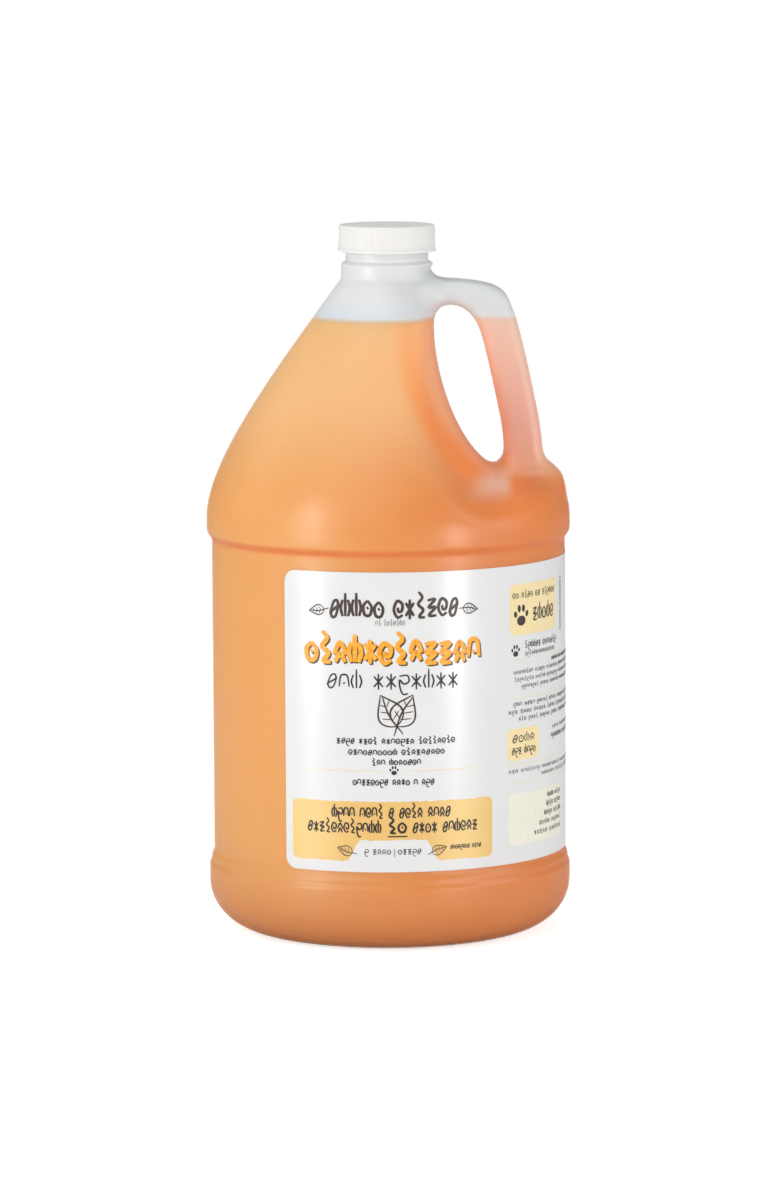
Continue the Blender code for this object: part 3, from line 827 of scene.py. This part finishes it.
def build_label():
    """The wrapped film and what is printed on it, which is all generic: leaves, paws, patches and scrawl."""
    around_start = math.radians(LABEL_START) * PANEL_R
    around_end = math.radians(LABEL_END) * PANEL_R
    low, high = LABEL_LOW.z, LABEL_HIGH.z
    corner = 5.0
    film = Print(0.08, 0.10)
    edge = corner * (1 - np.cos(np.radians(np.linspace(0, 90, 9))))
    middle = np.linspace(around_start + corner, around_end - corner, 170)[1:-1]
    places = np.concatenate([around_start + edge, middle, around_end - edge[::-1]])
    inside = np.clip(np.minimum(places - around_start, around_end - places) / corner, 0, 1)
    drop = corner * (1 - np.sqrt(1 - (1 - inside) ** 2))
    film.strip(np.stack([places, low + drop], 1), np.stack([places, high - drop], 1))
    label = film.piece("label_film", film_material())
    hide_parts("wrap_label")

    banner = Print(*FIRST_INK)
    banner.torn(-42.3, 45.2, 40.0, 65.0, 0.28, 3, notch=(-18.0, 21.0, 48.8))
    banner.piece("label_banner", gold_ink())

    tan = Print(*FIRST_INK)
    tan.torn(55.0, 90.0, 131.0, 152.5, 0.2, 5)
    tan.torn(53.3, 73.6, 78.5, 92.0, 0.2, 6)
    tan.torn(150.0, 186.0, 44.0, 60.0, 0.2, 7)
    tan.piece("label_tan_patches", ink("tan_ink", rgb(240, 219, 164), rgb(244, 225, 176)))
    pale = Print(*FIRST_INK)
    pale.torn(53.8, 97.0, 43.0, 64.5, 0.25, 8)
    pale.piece("label_pale_patch", ink("pale_ink", rgb(234, 231, 214), rgb(238, 236, 222)))

    gold = Print(*FIRST_INK)
    for left, right, height in ((-35.4, -2.5, 77.8), (6.0, 39.3, 77.8)):
        gold.line([(x, height) for x in np.linspace(left, right, 24)], 0.35, 0.8)
    for height in (121.0, 104.5, 76.8, 69.0):
        gold.line([(x, height) for x in np.linspace(53.0, 250.0, 110)], 0.22, 0.2)
    gold.piece("label_rules", ink("rule_ink", rgb(238, 222, 170), rgb(230, 212, 150)))

    shadow = Print(*FIRST_INK)
    bright = Print(*SECOND_INK)
    for layer, shift in ((shadow, (0.6, -0.6)), (bright, (0, 0))):
        layer.scrawl(-35.5, 40.0, 123.2, 8.2, 2.0, 12, (12,), 5, 0.08, shift)
    shadow.piece("label_shadow_print", ink("shadow_ink", rgb(78, 46, 20), rgb(90, 56, 26)))
    bright.piece("label_orange_print", ink("orange_ink", rgb(243, 156, 30), rgb(250, 182, 60)))

    brown = Print(*SECOND_INK)
    brown.scrawl(-24.5, 30.0, 142.0, 6.9, 1.3, 21, (5, 6), 5, 0.06)
    brown.leaf((-27.0, 144.8), (-34.0, 144.0), 0.55)
    brown.leaf((31.5, 144.8), (38.5, 144.0), 0.55)
    brown.leaf((3.2, 96.4), (-3.6, 109.5), 0.75, 0.44)
    brown.leaf((3.2, 96.4), (9.8, 109.5), 0.75, 0.44)
    brown.leaf((-15.5, 43.4), (-22.0, 45.6), 0.42)
    brown.leaf((17.5, 43.4), (24.0, 45.6), 0.42)
    brown.piece("label_brown_print", ink("brown_ink", rgb(66, 50, 42), rgb(80, 64, 54)))

    black = Print(*SECOND_INK)
    black.scrawl(-5.5, 7.0, 138.6, 1.7, 0.22, 31, (2, 7))
    black.scrawl(-26.0, 30.0, 112.3, 5.6, 0.76, 38, (3, 7), 4)
    black.scrawl(-22.0, 28.0, 89.2, 2.0, 0.50, 41, (4, 4, 7, 8), 3, 0.05)
    black.scrawl(-17.0, 23.5, 84.6, 2.0, 0.50, 42, (10, 9), 3, 0.05)
    black.scrawl(-7.2, 13.4, 80.4, 2.0, 0.50, 43, (3, 7), 3, 0.05)
    black.paw((1.9, 77.8), 3.8)
    black.scrawl(-15.2, 19.0, 72.0, 2.2, 0.52, 44, (8, 4, 1, 3), 3, 0.05)
    black.scrawl(-24.2, 26.0, 58.4, 3.9, 0.72, 45, (4, 4, 1, 4, 4), 4, 0.04)
    black.scrawl(-35.0, -3.2, 52.0, 3.9, 0.72, 46, (12,), 4, 0.04)
    black.scrawl(9.6, 38.2, 52.0, 3.9, 0.72, 47, (4, 6), 4, 0.04)
    black.scrawl(-0.6, 7.6, 52.0, 4.4, 1.05, 48, (2,), 4)
    black.line([(x, 50.4) for x in np.linspace(-0.8, 7.4, 8)], 0.6, 0.1)
    black.scrawl(25.6, 39.8, 44.4, 1.7, 0.34, 49, (8, 4))
    black.scrawl(-10.5, 0.8, 43.0, 2.0, 0.36, 50, (1, 4), 3)
    black.line([(2.0, z) for z in (41.8, 43.5, 45.2)], 0.24, 0.1)
    black.scrawl(3.4, 13.4, 43.0, 2.0, 0.36, 51, (5,), 3)
    black.paw((61.8, 138.8), 8.8)
    black.scrawl(56.5, 88.5, 146.6, 2.2, 0.40, 52, (2, 4, 2, 6), 3)
    black.scrawl(69.5, 87.5, 136.6, 5.0, 0.8, 53, (5,), 4)
    black.scrawl(64.0, 90.5, 125.4, 2.2, 0.40, 54, (6, 7), 3)
    black.scrawl(64.0, 88.5, 122.2, 1.5, 0.26, 55, (16,))
    black.paw((58.3, 124.4), 5.0)
    for row in range(13):
        black.scrawl(95.6, 97.6, 150.6 - 1.75 * row, 1.3, 0.34, 140 + row, (1,))
    for row, left in enumerate((85, 57, 57.5, 62)):
        black.scrawl(left, 118.0, 118.0 - 3.1 * row, 1.3, 0.26, 60 + row, (8, 5, 7, 6, 9))
    for row, left in enumerate((57, 54, 60)):
        black.scrawl(left, 118.0, 101.4 - 3.1 * row, 1.4, 0.30, 70 + row, (3, 4, 5, 4, 8, 6))
    black.scrawl(56.3, 71.0, 86.2, 2.9, 0.55, 75, (4,), 4)
    black.scrawl(56.0, 71.5, 81.2, 2.6, 0.48, 76, (3, 4), 4)
    black.scrawl(86.0, 118.0, 89.0, 1.2, 0.25, 77, (4, 6, 5))
    black.scrawl(84.5, 118.0, 85.2, 1.6, 0.36, 78, (8, 4, 6))
    black.scrawl(54.0, 118.0, 73.4, 1.3, 0.26, 79, (3, 7, 9, 6, 5))
    black.scrawl(76.0, 118.0, 70.6, 1.3, 0.26, 80, (6, 5, 8))
    for row, left in enumerate((81, 80, 78, 74, 70)):
        black.scrawl(left, 96.0, 60.6 - 3.7 * row, 1.7, 0.36 - 0.05 * (row == 0), 81 + row, (5, 6))
    for row in range(10):
        black.scrawl(128.0, 240.0, 150.0 - 3.1 * row, 1.3, 0.26, 90 + row, (7, 4, 9, 6, 8, 5))
    for row in range(4):
        black.scrawl(128.0, 232.0 - 9 * row, 116.5 - 3.1 * row, 1.3, 0.26, 110 + row, (6, 9, 4, 7, 5))
    for row in range(6):
        black.scrawl(128.0, 236.0, 100.5 - 3.1 * row, 1.3, 0.26, 120 + row, (5, 8, 7, 4, 9))
    black.paw((157.0, 51.6), 9.0)
    black.scrawl(165.0, 184.0, 49.6, 4.0, 0.6, 130, (5,), 4)
    bars = random.Random(9)
    at = 210.0
    while at < 240.0:
        width = bars.choice((0.33, 0.33, 0.66, 0.99))
        black.strip([(at, 42.0), (at + width, 42.0)], [(at, 62.0), (at + width, 62.0)])
        at += width + bars.choice((0.33, 0.66, 0.66, 0.99))
    black.piece("label_black_print", ink("black_ink", rgb(44, 38, 34), rgb(58, 50, 44)))


# ---- the cap and its liner ----------------------------------------------------------------------------
def cap_material():
    """White polypropylene, satin, with a fine moulded texture."""
    n = Nodes("white_polypropylene")
    grain = n.noise(900.0, 3.0)
    n.bump(grain, 0.25, 0.00005)
    cloud = n.noise(60.0, 2.0)
    tint = n.blend(cloud, rgb(231, 231, 229), rgb(236, 235, 233))
    rough = n.fade(grain, 0.3, 0.7, 0.38, 0.46)
    return n.set(Base_Color=tint, Roughness=rough, Subsurface_Weight=0.15, Subsurface_Scale=0.001)


def build_cap():
    """The screw cap: ribbed skirt over a plain rim, rounded shoulder, and its own ridge inside."""
    ribs, rib_height = 120, 0.07
    low, high = CAP_LOW.z, CAP_HIGH.z
    rim_r, top_r, bore_r = CAP_HIGH.x, CAP_HIGH.x - 0.45, 18.95
    inner_top = high - 1.4
    under = np.array([(1.0, inner_top), (9.0, inner_top)])
    under_edge = arc((bore_r - 0.8, inner_top - 0.8), (0.8, 0.8), 90, 0, 5)
    bore = np.array([(bore_r, z) for z in np.arange(inner_top - 1.2, low + 0.7, -0.35)])
    mouth = arc((bore_r + 0.5, low + 0.5), (-0.5, -0.5), 0, 90, 4)
    rim = arc((rim_r - 0.3, low + 0.3), (0.3, 0.3), -90, 0, 5)
    band = np.array([(rim_r - 0.02, low + 1.0), (rim_r - 0.12, low + 1.3), (rim_r - 0.3, low + 1.5)])
    skirt = np.array([(top_r + 0.1 * (1 - share), low + 1.9 + share * 8.2) for share in np.linspace(0, 1, 9)])
    shoulder = arc((top_r - 0.9, high - 0.9), (0.9, 0.9), 8, 90, 9)
    dish = np.array([(top_r - 1.9, high), (top_r - 2.2, high - 0.08), (top_r - 2.5, high - 0.14)])
    sunk = high - 0.14  # the plate inside the rim's low ring
    plate = np.array([(12.0, sunk), (6.0, sunk), (1.6, sunk), (1.2, high - 0.06), (0.5, high - 0.05)])
    outline = np.vstack([under, under_edge, bore, mouth, rim, band, skirt, shoulder, dish, plate])

    def push(angle, height):
        """The inner ridge on the bore's rows, and ribs on the skirt's."""
        row = np.arange(len(outline))[:, None]
        before = len(under) + len(under_edge)
        inside = (row >= before) & (row < before + len(bore))
        skirt_start = before + sum(map(len, (bore, mouth, rim, band)))
        share = np.clip((row - skirt_start + 1) / 2, 0, 1)
        share = share * np.clip((skirt_start + len(skirt) - row) / 1.5, 0, 1)
        outside = (row >= skirt_start - 1) & (row < skirt_start + len(skirt) + 1)
        rib = rib_height * np.cos(ribs * angle) * share
        return np.where(inside, cap_push(angle, height), 0) + np.where(outside, rib, 0)

    shell = Shell()
    first, last = shell.rings(turned(outline, ribs * 6, push))
    shell.cover(first, inner_top)
    shell.cover(last, high - 0.05)
    cap = shell_piece("ribbed_cap", shell, "cap", "white_polypropylene", [cap_material()])
    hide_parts("screw_cap")


def build_liner():
    """The foam disc, with the groove that the lip has pressed into it."""
    low, high = LINER_LOW.z, LINER_HIGH.z
    edge = LINER_HIGH.x
    groove = (NECK_R + BORE_R) / 2
    across = np.linspace(1, edge - 0.4, 40)
    under = np.array([(r, low + 0.12 * math.exp(-(((r - groove) / 0.9) ** 2))) for r in across])
    rim = arc((edge - 0.3, (low + high) / 2), (0.3, (high - low) / 2), -80, 80, 8)
    top = np.array([(r, high) for r in (edge - 1, 9, 1)])
    shell = Shell()
    first, last = shell.rings(turned(np.vstack([under, rim, top]), 144))
    shell.cover(first, low)
    shell.cover(last, high)
    n = Nodes("white_foam")
    cells = n.noise(1500.0, 4.0)
    n.bump(cells, 0.5, 0.0001)
    foam = n.set(Base_Color=n.blend(cells, rgb(226, 226, 222), rgb(240, 240, 236)), Roughness=0.8)
    liner = shell_piece("foam_liner", shell, "liner", "white_foam", [foam])
    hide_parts("cap_liner")


# ---- floor, lights and camera -------------------------------------------------------------------------
LIGHTS = (  # name, place, width and height in metres, and power in watts
    ("key_light", (-0.557, -0.502, 0.13), 0.13, 0.24, 0.95),
    ("shoulder_light", (-0.557, -0.502, 0.38), 0.13, 0.24, 1.2),
    ("fill_light", (0.502, -0.557, 0.12), 0.12, 0.22, 1.05),
    ("front_light", (-0.5, -1.7, 1.25), 1.2, 0.9, 4.8),
    ("side_light", (-1.7, 0.2, 0.8), 1.0, 1.2, 2.5),
    ("right_light", (1.7, -0.5, 0.7), 1.0, 1.2, 8.5),
    ("top_light", (-0.3, 0.1, 2.0), 1.2, 1.2, 12.5),
)


def build_stage():
    """A plain white floor that curves up behind the object, a pale world that looks white where it is seen
    directly, and soft lights."""
    floor = Nodes("white_sweep")
    seen = floor.maths("MULTIPLY", floor.node("ShaderNodeLightPath"), 0.7)
    floor.set(
        Base_Color=rgb(244, 244, 244),
        Roughness=0.9,
        Emission_Color=(1, 1, 1, 1),
        Emission_Strength=seen,
    )
    half, back, rise, curve = 5.0, 5.0, 4.0, 1.5
    side = [(-back, 0.0)]
    for i in range(17):
        turn = math.pi / 2 * i / 16
        side.append((back - curve + curve * math.sin(turn), curve - curve * math.cos(turn)))
    side.append((back, rise))
    points = [(x, y, z) for y, z in side for x in (-half, half)]
    faces = [(2 * i, 2 * i + 1, 2 * i + 3, 2 * i + 2) for i in range(len(side) - 1)]
    mesh = bpy.data.meshes.new("studio_sweep")
    mesh.from_pydata(points, [], faces)
    mesh.shade_smooth()
    mesh.materials.append(floor.material)
    sweep = bpy.data.objects.new("studio_sweep", mesh)
    bpy.context.scene.collection.objects.link(sweep)

    world = bpy.data.worlds.new("studio")
    world.use_nodes = True
    sky = world.node_tree.nodes["Background"]
    sky.inputs["Color"].default_value = (1, 1, 1, 1)
    seen = world.node_tree.nodes.new("ShaderNodeLightPath").outputs["Is Camera Ray"]
    strength = world.node_tree.nodes.new("ShaderNodeMapRange")
    strength.inputs["To Min"].default_value = 0.33
    strength.inputs["To Max"].default_value = 1.0
    world.node_tree.links.new(seen, strength.inputs["Value"])
    world.node_tree.links.new(strength.outputs[0], sky.inputs["Strength"])
    bpy.context.scene.world = world
    bpy.context.scene.view_settings.view_transform = "Standard"

    for lamp in LIGHTS:
        softbox(*lamp)


def softbox(name, place, width, height, power):
    """A rectangular light that faces the object's middle."""
    light = bpy.data.lights.new(name, "AREA")
    light.shape = "RECTANGLE"
    light.size, light.size_y = width, height
    light.energy = power
    lamp = bpy.data.objects.new(name, light)
    aim = Vector((0, 0, 0.15)) - Vector(place)
    lamp.matrix_world = Matrix.Translation(place) @ aim.to_track_quat("-Z", "Y").to_matrix().to_4x4()
    bpy.context.scene.collection.objects.link(lamp)


def build_camera():
    """A long lens in front of the jug, a little above its cap, that looks down slightly."""
    lens = bpy.data.cameras.new("camera")
    lens.sensor_fit = "VERTICAL"
    lens.sensor_height = 36
    lens.lens = 184.0
    camera = bpy.data.objects.new("camera", lens)
    pitch, roll = 0.1282, -0.005
    turn = Matrix.Rotation(math.pi / 2 - pitch, 4, "X") @ Matrix.Rotation(roll, 4, "Z")
    camera.matrix_world = Matrix.Translation((0.0006, -2.569, 0.4714)) @ turn
    bpy.context.scene.collection.objects.link(camera)
    bpy.context.scene.camera = camera


build_jug()
build_shampoo()
build_label()
build_cap()
build_liner()
build_stage()
build_camera()
